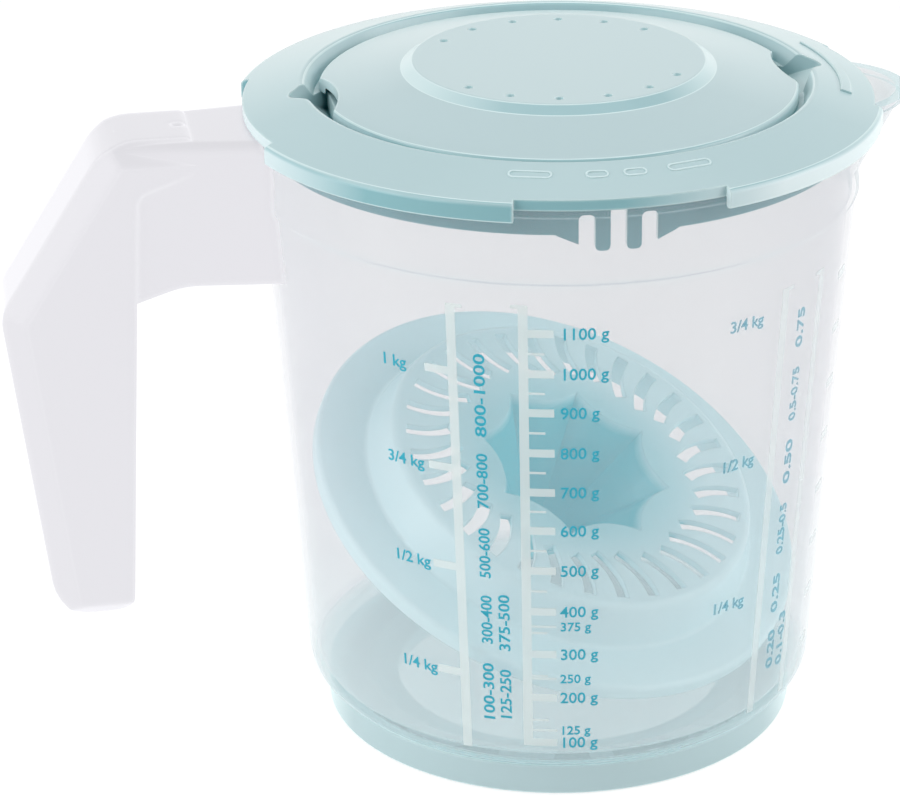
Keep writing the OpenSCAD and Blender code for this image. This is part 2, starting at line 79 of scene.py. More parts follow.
# Plain ranges that run up the wall: what they say, and the heights between which they stand
GRAM_RANGES = (
    ("800-1000", 89.6, 108.8), ("700-800", 72.6, 85.6), ("500-600", 55.8, 67.8),
    ("300-400", 39.6, 51.4), ("100-300", 20.6, 34.6),
)
GRAM_NOTES = (("375-500", 38.2, 52.0), ("125-250", 21.2, 33.4))
SECOND_RANGES = (
    ("0.75", 100.4, 109.6), ("0.5-0.75", 83.0, 95.6), ("0.50", 67.8, 78.4),
    ("0.25-0.5", 50.4, 62.8), ("0.25", 35.8, 45.4), ("0.20", 21.6, 31.2),
)
SECOND_NOTES = (("0.1-0.3", 20.8, 34.2),)

# Share of a font's size that its figures stand high, and how near two points of ink count as one
FIGURE_SHARE = 0.7
SAME_POINT = 1e-7

# Raised outlines on the lid ring: bearing in degrees and length in millimetres, and steps round an end
LID_MARKS = ((-106.5, 9.1), (-93.6, 4.8), (-86.1, 5.0), (-74.8, 9.9))
MARK_END_STEPS = 10

# Where the wall and the lid ring's top are measured: two heights, two radii, and a start clear of the jug
WALL_HEIGHTS = (0.03, 0.118)
LID_RADII = (0.0585, 0.064)
CLEAR_OF_JUG = 0.3

# How the juicer lies in the beaker, and the radius of its reamer's mouth
JUICER_PLACE = (0, 0, 0.0484)
JUICER_TILT = math.radians(28)
JUICER_TURN = math.radians(-54)
REAMER_RADIUS = 0.0282

# Refractive indices of the translucent and of the opaque plastics
CLEAR_IOR = 1.46
SATIN_IOR = 1.49

# Lamps: place and size. Each one's power is the studio value of the same name
LAMPS = (
    ("top_lamp", (0, 0.15, 1.1), 1.0),
    ("left_lamp", (-0.95, -0.3, 0.5), 0.9),
    ("right_lamp", (0.92, -0.35, 0.5), 0.9),
)
LAMP_AIM = (0, 0, 0.08)

# Sky: its colour, its share of the strength in front and behind, and where along Y these hold
SKY_COLOUR = (0.97, 0.985, 1, 1)
SKY_SHARES = (0.35, 1.1)
SKY_SPAN = (-1, 0.2)

# Floor: half its width, its gap under the foot, and how much shade and glow the eye sees in it
FLOOR_REACH = 4.0
FLOOR_GAP = 0.0003
FLOOR_SHADE = 0.34
FLOOR_GLOW = 0.8

# Camera sensor in millimetres, nearest seen distance, and how many clear layers light may cross
SENSOR_WIDTH = 36
NEAREST = 0.01
CLEAR_LAYERS = 32


def colour_property(label, description, value):
    """A colour that a user may change."""
    return FloatVectorProperty(
        name=label, description=description, subtype="COLOR", size=3, min=0, max=1, default=value
    )


def length_property(label, description, value):
    """A length that a user may change, in metres."""
    return FloatProperty(
        name=label, description=description, subtype="DISTANCE", unit="LENGTH", default=value
    )


def bearing_property(label, description, degrees):
    """A bearing round the jug that a user may change."""
    return FloatProperty(
        name=label, description=description, subtype="ANGLE", unit="ROTATION",
        default=math.radians(degrees),
    )


def place_property(label, description, value):
    """A point that a user may change, in metres."""
    return FloatVectorProperty(
        name=label, description=description, subtype="XYZ", unit="LENGTH", size=3, default=value
    )


def power_property(label, description, value):
    """A lamp's power that a user may change."""
    return FloatProperty(name=label, description=description, subtype="POWER", default=value)


class JugFinishes(PropertyGroup):
    """Colours of the jug's plastics and inks, with painted light, shade, highlights and glow."""

    wall: colour_property("Clear wall", "Milky clear plastic of the beaker", (0.42, 0.42, 0.45))
    # Painted mint light low on the wall and on its floor and shoulder, cast by the juicer and foot ring
    wall_low_mint_light: colour_property("Low wall", "Mint cast of the wall near its floor", (0.54, 0.6, 0.61))
    floor_mint_light: colour_property("Beaker floor", "Mint cast of floor and shoulder", (0.25, 0.5, 0.51))
    # Painted glow that lifts the clear wall
    wall_glow: colour_property("Wall glow", "Light that the wall carries", (0.225, 0.225, 0.238))
    handle: colour_property("Handle", "Whiter translucent plastic", (0.06, 0.0595, 0.062))
    # Painted glow on the handle: weaker on upward faces as painted shade, brighter along edges as painted
    # highlight
    handle_glow: colour_property("Handle glow", "Light through its thin walls", (0.725, 0.718, 0.755))
    handle_top: colour_property("Handle top", "Weaker glow of upward faces", (0.61, 0.605, 0.637))
    handle_edge: colour_property("Handle edges", "Brighter light along edges", (0.8, 0.797, 0.83))
    lid: colour_property("Lid ring", "Satin mint plastic of the lid ring", (0.46, 0.625, 0.65))
    # Painted shade on the lid's upright faces and front slopes
    lid_side_shade: colour_property("Lid sides", "Deeper tone of upright faces", (0.235, 0.47, 0.51))
    # Painted shade in the lid's narrow gaps and corners
    lid_gap_shade: colour_property("Lid gaps", "Teal of the lid's gaps and corners", (0.02, 0.27, 0.31))
    # Painted shade in the lid's wider hollows
    lid_hollow_shade: colour_property("Lid hollows", "Stronger mint of wider hollows", (0.16, 0.48, 0.51))
    # Painted light on faces toward spout and handle, where the lamps stand
    lid_lit: colour_property("Lid lit sides", "Paler tone toward spout and handle", (0.74, 0.85, 0.865))
    # Painted highlight along the lid's edges, roundings and grazing faces
    lid_edge_highlight: colour_property("Lid edges", "Pale edges of the lid", (0.8, 0.95, 0.95))
    cover: colour_property("Cover", "Satin mint plastic of the cover", (0.48, 0.63, 0.655))
    foot: colour_property("Foot ring", "Satin mint plastic of the foot ring", (0.4, 0.53, 0.55))
    # Painted glow for light through the foot
    foot_glow: colour_property("Foot glow", "Light that the foot lets through", (0.1, 0.125, 0.13))
    insert: colour_property("Juicer", "Translucent mint plastic of the juicer", (0.66, 0.86, 0.89))
    # Painted glow for light through the juicer
    insert_glow: colour_property("Juicer glow", "Light that it lets through", (0.015, 0.065, 0.075))
    # Painted shade inside the reamer and round its mouth
    hollow: colour_property("Reamer", "Deeper tone inside the reamer", (0.01, 0.5, 0.58))
    ink: colour_property("Ink", "Turquoise ink of the numbers", (0.01, 0.4, 0.53))
    # Painted glow for light through the turquoise ink
    ink_glow: colour_property("Ink glow", "Light through the turquoise ink", (0.0, 0.035, 0.05))
    bars: colour_property("Bars", "Pale ink of the scale bars", (0.8, 0.87, 0.86))
    # Painted glow for light through the pale ink
    bar_glow: colour_property("Bar glow", "Light through the pale ink", (0.06, 0.066, 0.065))


class ScaleSizes(PropertyGroup):
    """Sizes and places of the printed scales."""

    ink_proud: length_property("Ink above wall", "How far the ink stands proud of the wall", 0.0001)
    ink_sunk: length_property("Ink below wall", "How far the ink reaches into the wall", 0.00006)
    bar_width: length_property("Bar width", "Width of the upright bars", 0.002)
    hook_reach: length_property("Hook reach", "How far a bar's top hook reaches sideways", 0.0016)
    hook_height: length_property("Hook height", "Height of a bar's top hook", 0.0007)
    tick_long: length_property("Long tick", "Length of the ticks at the numbers", 0.0053)
    tick_short: length_property("Short tick", "Length of the ticks between the numbers", 0.0034)
    tick_bold: length_property("Bold tick", "Height of the ticks at the numbers", 0.0018)
    tick_fine: length_property("Fine tick", "Height of the ticks between the numbers", 0.0005)
    number_height: length_property("Number height", "Height of the large numbers", 0.0026)
    small_height: length_property("Small number height", "Height of the small numbers", 0.0021)
    range_height: length_property("Range height", "Height of the numerals up the wall", 0.0024)
    number_bold: length_property("Number boldness", "Extra stroke of the numbers", 0.00004)
    range_bold: length_property("Range boldness", "Extra stroke of the numerals up the wall", 0.00005)
    kilo_bar: bearing_property("Kilo bar", "Bearing of the bar beside the kilo marks", -121.1)
    gram_bar: bearing_property("Gram bar", "Bearing of the bar beside the gram marks", -107.5)
    gram_numbers: bearing_property("Gram numbers", "Bearing of the gram numbers' left edge", -100.7)
    kilo_numbers: bearing_property("Kilo numbers", "Bearing of the kilo numbers' left edge", -136.4)
    second_numbers: bearing_property("Second numbers", "Bearing of the second scale's left edge", -67.4)
    second_bar: bearing_property("Second bar", "Bearing of the second scale's first bar", -53.4)
    third_bar: bearing_property("Third bar", "Bearing of the second scale's other bar", -41)
    second_ticks: bearing_property("Second ticks", "Bearing of the second scale's ticks", -31)
    gram_ranges: bearing_property("Gram ranges", "Bearing of the ranges up the wall", -115.9)
    gram_notes: bearing_property("Gram notes", "Bearing of the ranges beside them", -112.2)
    second_ranges: bearing_property("Second ranges", "Bearing of the second scale's ranges", -47.7)
    second_notes: bearing_property("Second notes", "Bearing of the range beside them", -43.7)


class MarkSizes(PropertyGroup):
    """Sizes of the raised outlines on the lid ring."""

    place: length_property("Place", "Radius on the lid ring at which the outlines lie", 0.0604)
    width: length_property("Width", "Width of an outline across the ring", 0.0024)
    line: length_property("Line", "Width of the raised line", 0.0004)
    raised: length_property("Height", "How far the line stands above the ring", 0.0002)
    sunk: length_property("Root", "How far the line reaches into the ring", 0.0002)


class StudioSizes(PropertyGroup):
    """Camera, lamps and floor."""

    camera_place: place_property("Camera place", "Where the camera stands", (-0.1354, -0.6964, 0.3799))
    camera_aim: place_property("Camera aim", "The point that the camera looks at", (0, 0, 0.0719))
    lens: FloatProperty(name="Lens", description="Focal length in millimetres", default=136.7)
    shift: FloatProperty(name="Shift", description="Sideways shift of the frame", default=-0.1206)
    top_lamp: power_property("Top lamp", "Power of the lamp overhead", 3.1)
    left_lamp: power_property("Left lamp", "Power of the lamp at the handle", 7.2)
    right_lamp: power_property("Right lamp", "Power of the lamp at the spout", 6.9)
    sky: FloatProperty(name="Sky", description="Light from all round", default=0.38)
    floor: colour_property("Floor", "Pale floor", (0.9, 0.9, 0.9))


class Finish:
    """A material's node tree, with short ways to add and join nodes."""

    def __init__(self, name):
        self.material = bpy.data.materials.new(name)
        self.material.use_nodes = True
        self.tree = self.material.node_tree
        self.skin = self.tree.nodes["Principled BSDF"]
        self.place = self.node("ShaderNodeTexCoord").outputs["Object"]
        self.normal = self.node("ShaderNodeNewGeometry").outputs["Normal"]

    def node(self, kind, **settings):
        """A new node with its settings."""
        made = self.tree.nodes.new(kind)
        for key, value in settings.items():
            setattr(made, key, value)
        return made

    def join(self, source, target):
        """Links an output to an input."""
        self.tree.links.new(source, target)

    def fix(self, socket, value):
        """Sets one of the shader's own values, the same all over."""
        self.skin.inputs[socket].default_value = value

    def maths(self, operation, *sources):
        """One sum on one or two values."""
        made = self.node("ShaderNodeMath", operation=operation)
        for source, target in zip(sources, made.inputs):
            self.join(source, target)
        return made.outputs["Value"]

    def product(self, first, second):
        """One factor times another."""
        return self.maths("MULTIPLY", first, second)

    def larger(self, first, second):
        """The larger of two factors."""
        return self.maths("MAXIMUM", first, second)

    def match(self, first, second):
        """The dot product of two vectors."""
        made = self.node("ShaderNodeVectorMath", operation="DOT_PRODUCT")
        self.join(first, made.inputs[0])
        self.join(second, made.inputs[1])
        return made.outputs["Value"]

    def part_of(self, vector, axis):
        """A vector's part along one axis."""
        split = self.node("ShaderNodeSeparateXYZ")
        self.join(vector, split.inputs["Vector"])
        return split.outputs[axis]

    def scaled(self, vector, scale):
        """A vector with each axis times its own scale."""
        made = self.node("ShaderNodeMapping")
        made.inputs["Scale"].default_value = scale
        self.join(vector, made.inputs["Vector"])
        return made.outputs["Vector"]

    def flattened(self, vector):
        """A vector without its height."""
        return self.scaled(vector, (1, 1, 0))

    def spread(self, source, low, high, start=0, end=1):
        """A value between start and end, moved to the range from low to high."""
        made = self.node("ShaderNodeMapRange")
        for name, value in (("From Min", start), ("From Max", end), ("To Min", low), ("To Max", high)):
            made.inputs[name].default_value = value
        self.join(source, made.inputs["Value"])
        return made.outputs["Result"]

    def band(self, source, low, high, soft):
        """1 between two values, falling to 0 over a soft range on either side."""
        rising = self.spread(source, 0, 1, start=low - soft, end=low)
        falling = self.spread(source, 1, 0, start=high, end=high + soft)
        return self.product(rising, falling)

    def noise(self, scale, detail=0, stretch=(1, 1, 1)):
        """Noise in the object's own metres, drawn out along an axis where stretch is below 1."""
        made = self.node("ShaderNodeTexNoise")
        made.inputs["Scale"].default_value = scale
        made.inputs["Detail"].default_value = detail
        self.join(self.scaled(self.place, stretch), made.inputs["Vector"])
        return made.outputs["Fac"]

    def drift(self, socket, low, high, **noise):
        """Lets one of the shader's values drift between two others over the surface."""
        self.join(self.spread(self.noise(**noise), low, high), self.skin.inputs[socket])

    def clouded(self, colour, depth, **noise):
        """The base colour, a little darker and lighter from place to place."""
        ramp = self.node("ShaderNodeValToRGB")
        for stop, share in zip(ramp.color_ramp.elements, (1 - depth, 1 + depth)):
            stop.color = [min(1, c * share) for c in colour] + [1]
        self.join(self.noise(**noise), ramp.inputs["Fac"])
        self.join(ramp.outputs["Color"], self.skin.inputs["Base Color"])

    def turn_to(self, socket, factor, other):
        """Goes from a socket's colour to another one as the factor rises to 1."""
        target = self.skin.inputs[socket]
        mix = self.node("ShaderNodeMix", data_type="RGBA")
        mix.inputs["A"].default_value = target.default_value
        mix.inputs["B"].default_value = (*other, 1)
        if target.links:
            self.join(target.links[0].from_socket, mix.inputs["A"])
        self.join(factor, mix.inputs["Factor"])
        self.join(mix.outputs["Result"], target)

    def blend(self, factor, other):
        """Goes from the base colour to another one as the factor rises to 1."""
        self.turn_to("Base Color", factor, other)

    def glow(self, colour, *turns):
        """Painted glow that stands in for light through thin walls; each turn is a factor and the colour
        it leads to.
        """
        self.fix("Emission Color", (*colour, 1))
        self.fix("Emission Strength", 1)
        for factor, other in turns:
            self.turn_to("Emission Color", factor, other)

    def bevelled(self, radius):
        """The normal of a surface whose edges are rounded to a radius."""
        soft = self.node("ShaderNodeBevel", samples=6)
        soft.inputs["Radius"].default_value = radius
        return soft.outputs["Normal"]

    def rounded(self, radius):
        """Shades the edges as if rounded to a radius, and gives the normal that does it."""
        normal = self.bevelled(radius)
        self.join(normal, self.skin.inputs["Normal"])
        return normal

    def edges(self, reach):
        """1 along the edges, where a widely rounded normal leaves the plain one."""
        same = self.match(self.bevelled(reach), self.normal)
        return self.spread(same, 1, 0, start=0.82, end=0.985)

    def painted_corner_shade(self, colour, reach, share):
        """Painted shade in gaps and corners, up to a share where little of the sky is seen."""
        corner = self.node("ShaderNodeAmbientOcclusion", samples=8)
        corner.inputs["Distance"].default_value = reach
        self.blend(self.spread(corner.outputs["AO"], share, 0, start=0.1, end=0.75), colour)

    def turned_away(self):
        """0 where the surface faces the eye and 1 where it is seen along itself."""
        return self.node("ShaderNodeLayerWeight").outputs["Facing"]

    def grazing(self, share, start, end):
        """Rises to the share where the surface turns away from the eye."""
        return self.spread(self.turned_away(), 0, share, start=start, end=end)

    def see_through(self, facing, edge, to_light, more=()):
        """How much the plastic covers, facing the eye and at edges, and the share that light meets."""
        alpha = self.spread(self.turned_away(), facing, edge, start=0.25, end=1)
        for extra in more:
            alpha = self.maths("ADD", alpha, extra)
        path = self.node("ShaderNodeLightPath")
        light = self.larger(path.outputs["Is Shadow Ray"], path.outputs["Is Diffuse Ray"])
        self.join(self.product(alpha, self.spread(light, 1, to_light)), self.skin.inputs["Alpha"])


def satin_plastic(name, colour, side, lit, edge, roughness):
    """Opaque moulded plastic with a soft sheen, painted shade on upright faces, painted light on lit
    sides and painted highlights along edges.
    """
    finish = Finish(name)
    finish.clouded(colour, depth=0.03, scale=7)
    across, along, rise = (finish.part_of(finish.normal, axis) for axis in "XYZ")
    sideways = finish.maths("ABSOLUTE", across)

    # Painted shade: upright faces turn toward the deeper side colour
    upright = finish.spread(rise, 1, 0, start=0.2, end=0.9)
    finish.blend(upright, side)
    # Painted light: upright faces toward the lamps at spout and handle turn paler
    to_spout = finish.spread(across, 0, 1, start=0, end=0.5)
    to_handle = finish.spread(across, 0.85, 0, start=-0.95, end=-0.7)
    finish.blend(finish.product(upright, finish.larger(to_spout, to_handle)), lit)
    # Inward-facing upright walls turn back to the plain colour, lifting the painted shade off them
    outward = finish.match(finish.normal, finish.flattened(finish.place))
    inward = finish.spread(outward, 0.7, 0, start=-0.04, end=-0.015)
    finish.blend(finish.product(upright, inward), colour)
    # Painted sheen: faces seen along themselves turn pale
    finish.blend(finish.grazing(0.65, start=0.62, end=0.9), edge)

    # Painted shade on slopes that face the front
    slope = finish.band(rise, 0.72, 0.84, soft=0.02)
    front = finish.spread(along, 0.5, 0, start=-0.55, end=-0.15)
    finish.blend(finish.product(slope, front), side)
    # Painted highlight on slopes that face the sides
    flank = finish.spread(sideways, 0, 0.5, start=0.3, end=0.55)
    finish.blend(finish.product(slope, flank), edge)

    # Painted highlight lines on roundings, undersides and edges
    upper = finish.band(rise, 0.86, 0.925, soft=0.03)
    lower = finish.band(rise, -0.9, -0.3, soft=0.1)
    lines = finish.larger(finish.larger(upper, lower), finish.edges(0.9 * MM))
    finish.blend(finish.spread(lines, 0, 0.62), edge)

    finish.rounded(0.4 * MM)
    finish.drift("Roughness", roughness - 0.03, roughness + 0.03, scale=9)
    finish.fix("IOR", SATIN_IOR)
    return finish


def clear_plastic(name, colour, low, floor, glow):
    """Clear plastic with a milky cast drawn out in height, denser low down and on its shoulder."""
    finish = Finish(name)
    finish.clouded(colour, depth=0.03, scale=9, stretch=(1, 1, 0.3))
    height = finish.part_of(finish.place, "Z")
    # Painted mint light low on the wall
    finish.blend(finish.spread(height, 1, 0, start=0.015, end=0.06), low)
    level = finish.maths("ABSOLUTE", finish.part_of(finish.normal, "Z"))
    lying = finish.spread(level, 0, 1, start=0.3, end=0.8)
    # Painted mint light on level faces: the floor and shoulder
    finish.blend(lying, floor)
    finish.drift("Roughness", 0.12, 0.2, scale=12, stretch=(1, 1, 0.2))
    denser = (finish.spread(lying, 0, 0.22), finish.spread(height, 0.06, 0, start=0.01, end=0.055))
    finish.see_through(facing=0.2, edge=0.32, to_light=0.25, more=denser)
    # Painted glow that lifts the wall
    finish.glow(glow)
    finish.fix("IOR", CLEAR_IOR)
    finish.fix("Specular IOR Level", 0.12)
    return finish.material


def milky_plastic(name, colour, glow, glow_top, glow_edge):
    """White plastic with a smooth gloss and a painted glow for the light through its walls, weaker on
    upward faces and brighter along edges.
    """
    finish = Finish(name)
    finish.clouded(colour, depth=0.03, scale=7)
    finish.drift("Roughness", 0.27, 0.33, scale=9)
    soft = finish.rounded(3 * MM)
    finish.see_through(facing=1, edge=1, to_light=0.3)
    # Painted glow: dimmer on upward faces, brighter along edges and grazing faces
    upward = finish.spread(finish.part_of(soft, "Z"), 0, 1, start=0.2, end=0.9)
    shining = finish.larger(finish.edges(2 * MM), finish.grazing(0.3, start=0.6, end=1))
    finish.glow(glow, (upward, glow_top), (shining, glow_edge))
    finish.fix("IOR", CLEAR_IOR)
    finish.fix("Specular IOR Level", 0.35)
    return finish.material


def tinted_plastic(name, colour, hollow, glow, place, turn, mouth):
    """Mint plastic that light passes, with painted shade round the reamer's mouth and down its hollow,
    and a painted glow.
    """
    finish = Finish(name)
    local = finish.node("ShaderNodeMapping", vector_type="TEXTURE")
    local.inputs["Location"].default_value = place
    local.inputs["Rotation"].default_value = turn
    finish.join(finish.place, local.inputs["Vector"])
    out = finish.node("ShaderNodeVectorMath", operation="LENGTH")
    finish.join(finish.flattened(local.outputs["Vector"]), out.inputs[0])
    radius = out.outputs["Value"]
    height = finish.part_of(local.outputs["Vector"], "Z")

    finish.clouded(colour, depth=0.04, scale=12)
    # Painted shade round the reamer's mouth and down its hollow
    finish.blend(finish.spread(radius, 0.42, 0, start=0.021, end=0.033), hollow)
    inside = finish.spread(radius, 1, 0, start=REAMER_RADIUS, end=REAMER_RADIUS + MM)
    deep = finish.spread(height, 1, 0, start=mouth - 2.2 * MM, end=mouth - 0.3 * MM)
    finish.blend(finish.product(inside, deep), hollow)

    finish.drift("Roughness", 0.2, 0.3, scale=15)
    finish.rounded(0.6 * MM)
    finish.see_through(facing=0.86, edge=0.95, to_light=0.35)
    # Painted glow for light through the juicer
    finish.glow(glow)
    finish.fix("IOR", CLEAR_IOR)
    return finish.material


def printed_ink(name, colour, glow, cover):
    """Screen-printed ink, a little uneven, that lets some of the wall show through."""
    finish = Finish(name)
    finish.clouded(colour, depth=0.04, scale=40, detail=1)
    finish.drift("Alpha", cover - 0.06, cover + 0.06, scale=60, detail=1)
    finish.drift("Roughness", 0.3, 0.42, scale=50, detail=1)
    # Painted glow for light through the ink
    finish.glow(glow)
    return finish.material


def dress(node, material, smooth=32):
    """Gives a CAD node its finish, shaded smooth but for edges above an angle in degrees."""
    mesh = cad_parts[node].data
    mesh.materials.clear()
    mesh.materials.append(material)
    mesh.shade_smooth()
    mesh.set_sharp_from_angle(angle=math.radians(smooth))


def surface_line(node, spots, ray, axis):
    """A node's surface as a straight line through two spots, measured on the frame's own mesh.

    ray gives the start and the direction in which to look for a spot's surface, and axis is the
    coordinate that is measured there.
    """
    tree = BVHTree.FromObject(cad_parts[node], bpy.context.evaluated_depsgraph_get())
    found = []
    for spot in spots:
        start, direction = ray(spot)
        hit = tree.ray_cast(Vector(start), Vector(direction))[0]
        if hit is None:
            raise RuntimeError(f"the surface of {node} was not found at {spot} m")
        found.append(abs(hit[axis]))
    slope = (found[1] - found[0]) / (spots[1] - spots[0])
    return lambda spot: found[0] + slope * (spot - spots[0])


def add_piece(name, gathered, material, body):
    """Makes a gathered mesh a piece that rides on a body."""
    bmesh.ops.recalc_face_normals(gathered, faces=gathered.faces)
    mesh = bpy.data.meshes.new(name)
    gathered.to_mesh(mesh)
    gathered.free()
    mesh.materials.append(material)
    piece = bpy.data.objects.new(name, mesh)
    bpy.context.scene.collection.objects.link(piece)
    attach(piece, body)


class WallPrint:
    """Ink on the beaker's wall, gathered into one mesh."""

    def __init__(self, name):
        self.name = name
        self.mesh = bmesh.new()
        self.sizes = bpy.context.scene.jug_scales
        self.radius = surface_line(
            "jug_body", WALL_HEIGHTS, lambda height: ((0, -CLEAR_OF_JUG, height), (0, 1, 0)), axis=1
        )

    def on_wall(self, bearing, across, height, proud):
        """The point that lies across metres to the right of a bearing, at a height."""
        radius = self.radius(height)
        turn = bearing + across / radius
        out = radius + proud
        return Vector((out * math.cos(turn), out * math.sin(turn), height))

    def patch(self, bearing, left, right, low, high, steps=2):
        """A thin slab of ink, bent to the wall."""
        sheets = []
        for proud in (-self.sizes.ink_sunk, self.sizes.ink_proud):
            columns = []
            for i in range(steps + 1):
                across = left + (right - left) * i / steps
                ends = [self.on_wall(bearing, across, height, proud) for height in (low, high)]
                columns.append([self.mesh.verts.new(end) for end in ends])
            sheets.append(columns)
        back, front = sheets
        for i in range(steps):
            (a, b), (d, c) = front[i], front[i + 1]
            (e, f), (h, g) = back[i], back[i + 1]
            for corners in ((a, d, c, b), (e, f, g, h), (b, c, g, f), (a, e, h, d)):
                self.mesh.faces.new(corners)
        self.mesh.faces.new((front[0][0], front[0][1], back[0][1], back[0][0]))
        self.mesh.faces.new((front[-1][0], back[-1][0], back[-1][1], front[-1][1]))

    def tick(self, bearing, left, right, middle, thick):
        """A level line at a height in millimetres."""
        half = thick / 2
        self.patch(bearing, left, right, middle * MM - half, middle * MM + half)

    def bar(self, bearing, span, hook):
        """A bar up the wall between two heights in millimetres, with a small hook at its top."""
        low, high = (height * MM for height in span)
        half = self.sizes.bar_width / 2
        self.patch(bearing, -half, half, low, high)
        left, right = sorted((half * hook, (half + self.sizes.hook_reach) * hook))
        self.patch(bearing, left, right, high - self.sizes.hook_height, high, steps=1)

    def numerals(self, words, height, bold):
        """The numerals as a deep mesh that starts at the origin and stands on X."""
        letters = bpy.data.curves.new("numerals", "FONT")
        letters.body = words
        letters.size = height / FIGURE_SHARE
        letters.resolution_u = 3
        letters.offset = bold
        letters.extrude = 1
        carrier = bpy.data.objects.new("numerals", letters)
        bpy.context.scene.collection.objects.link(carrier)
        bpy.context.view_layer.update()
        shaped = carrier.evaluated_get(bpy.context.evaluated_depsgraph_get())
        mesh = bpy.data.meshes.new_from_object(shaped)
        bpy.data.objects.remove(carrier)
        bpy.data.curves.remove(letters)
        return mesh

    def lay(self, mesh, bearing, to_wall):
        """Bends numerals to a film round the wall; to_wall turns their X and Y into across and up."""
        for point in mesh.vertices:
            proud = self.sizes.ink_proud if point.co.z > 0 else -self.sizes.ink_sunk
            across, up = to_wall(point.co.x, point.co.y)
            point.co = self.on_wall(bearing, across, up, proud)
        self.mesh.from_mesh(mesh)
        bpy.data.meshes.remove(mesh)

    def number(self, words, bearing, middle, height):
        """Plain numerals from a bearing to the right, centred on a height in millimetres."""
        mesh = self.numerals(words, height, self.sizes.number_bold)
        foot = middle * MM - height / 2
        self.lay(mesh, bearing, lambda x, y: (x, foot + y))

    def climbing(self, bearing, ranges):
        """Bold numerals that run up the wall, each between its two heights in millimetres."""
        height = self.sizes.range_height
        for words, low, high in ranges:
            mesh = self.numerals(words, height, self.sizes.range_bold)
            start = min(point.co.x for point in mesh.vertices)
            end = max(point.co.x for point in mesh.vertices)
            stretch = (high - low) * MM / (end - start)
            foot = low * MM
            self.lay(mesh, bearing, lambda x, y: (height / 2 - y, foot + (x - start) * stretch))

    def add(self, material):
        """Adds the gathered ink as one piece that rides on the jug."""
        bmesh.ops.remove_doubles(self.mesh, verts=self.mesh.verts, dist=SAME_POINT)
        add_piece(self.name, self.mesh, material, "jug")


class JUG_OT_beaker(Operator):
    """Gives the beaker its milky clear plastic"""

    bl_idname = "jug.beaker"
    bl_label = "Beaker"

    def execute(self, context):
        finishes = context.scene.jug_finishes
        tones = (finishes.wall, finishes.wall_low_mint_light, finishes.floor_mint_light, finishes.wall_glow)
        dress("jug_body", clear_plastic("clear_wall", *tones))
        return {"FINISHED"}


class JUG_OT_handle(Operator):
    """Gives the handle its whiter translucent plastic and rounded edges"""

    bl_idname = "jug.handle"
    bl_label = "Handle"

    def execute(self, context):
        finishes = context.scene.jug_finishes
        tones = (finishes.handle, finishes.handle_glow, finishes.handle_top, finishes.handle_edge)
        dress("jug_handle", milky_plastic("milky_handle", *tones), smooth=24)
        return {"FINISHED"}


class JUG_OT_foot(Operator):
    """Gives the foot ring its satin mint plastic"""

    bl_idname = "jug.foot"
    bl_label = "Foot ring"

    def execute(self, context):
        finishes = context.scene.jug_finishes
        # The foot takes painted highlights along its edges and at grazing faces; its upright faces keep
        # the foot colour
        tones = (finishes.foot, finishes.foot, finishes.foot, finishes.lid_edge_highlight)
        finish = satin_plastic("mint_foot", *tones, roughness=0.3)
        # Painted glow for light through the foot
        finish.glow(finishes.foot_glow)
        dress("base_ring", finish.material)
        return {"FINISHED"}


class JUG_OT_lid(Operator):
    """Gives the lid ring and its cover their satin mint plastic"""

    bl_idname = "jug.lid"
    bl_label = "Lid ring and cover"

    def execute(self, context):
        finishes = context.scene.jug_finishes
        self.satin("lid_ring", "mint_lid", finishes.lid, finishes)
        self.satin("lid_cover", "mint_cover", finishes.cover, finishes)
        return {"FINISHED"}

    def satin(self, node, name, colour, finishes):
        """Dresses one of the two, with painted shade in its hollows and gaps."""
        tones = (colour, finishes.lid_side_shade, finishes.lid_lit, finishes.lid_edge_highlight)
        finish = satin_plastic(name, *tones, roughness=0.24)
        # Painted shade: stronger mint in wide hollows, dark teal in narrow gaps and corners
        finish.painted_corner_shade(finishes.lid_hollow_shade, reach=8 * MM, share=0.15)
        finish.painted_corner_shade(finishes.lid_gap_shade, reach=1.6 * MM, share=0.95)
        dress(node, finish.material)


class JUG_OT_lid_marks(Operator):
    """Raises four plain outlines on the front of the lid ring"""

    bl_idname = "jug.lid_marks"
    bl_label = "Lid marks"

    def execute(self, context):
        sizes = context.scene.jug_marks
        top = surface_line(
            "lid_ring", LID_RADII, lambda radius: ((0, -radius, CLEAR_OF_JUG), (0, 0, -1)), axis=2
        )
        mesh = bmesh.new()
        for bearing, length in LID_MARKS:
            self.outline(mesh, sizes, top, math.radians(bearing), length * MM)
        add_piece("lid_marks", mesh, bpy.data.materials["mint_lid"], "lid")
        return {"FINISHED"}

    def outline(self, mesh, sizes, top, bearing, length):
        """One thin raised line round a flat shape with half-round ends."""
        outer, inner = 0, sizes.line
        foot, crest = -sizes.sunk, sizes.raised
        loops = []
        for inset, lift in ((outer, foot), (outer, crest), (inner, crest), (inner, foot)):
            points = self.loop(sizes, bearing, length, inset)
            loops.append([
                mesh.verts.new((radius * math.cos(angle), radius * math.sin(angle), top(radius) + lift))
                for radius, angle in points
            ])
        for k, one in enumerate(loops):
            two = loops[(k + 1) % len(loops)]
            for i in range(len(one)):
                j = (i + 1) % len(one)
                mesh.faces.new((one[i], one[j], two[j], two[i]))

    def loop(self, sizes, bearing, length, inset):
        """The radius and bearing of each point round the shape, moved in by an inset."""
        straight = length / 2 - sizes.width / 2
        end = sizes.width / 2 - inset
        points = []
        for side in (1, -1):
            for i in range(MARK_END_STEPS + 1):
                turn = math.pi * (i / MARK_END_STEPS - 0.5)
                across = side * (straight + end * math.cos(turn))
                radius = sizes.place + side * end * math.sin(turn)
                points.append((radius, bearing + across / radius))
        return points


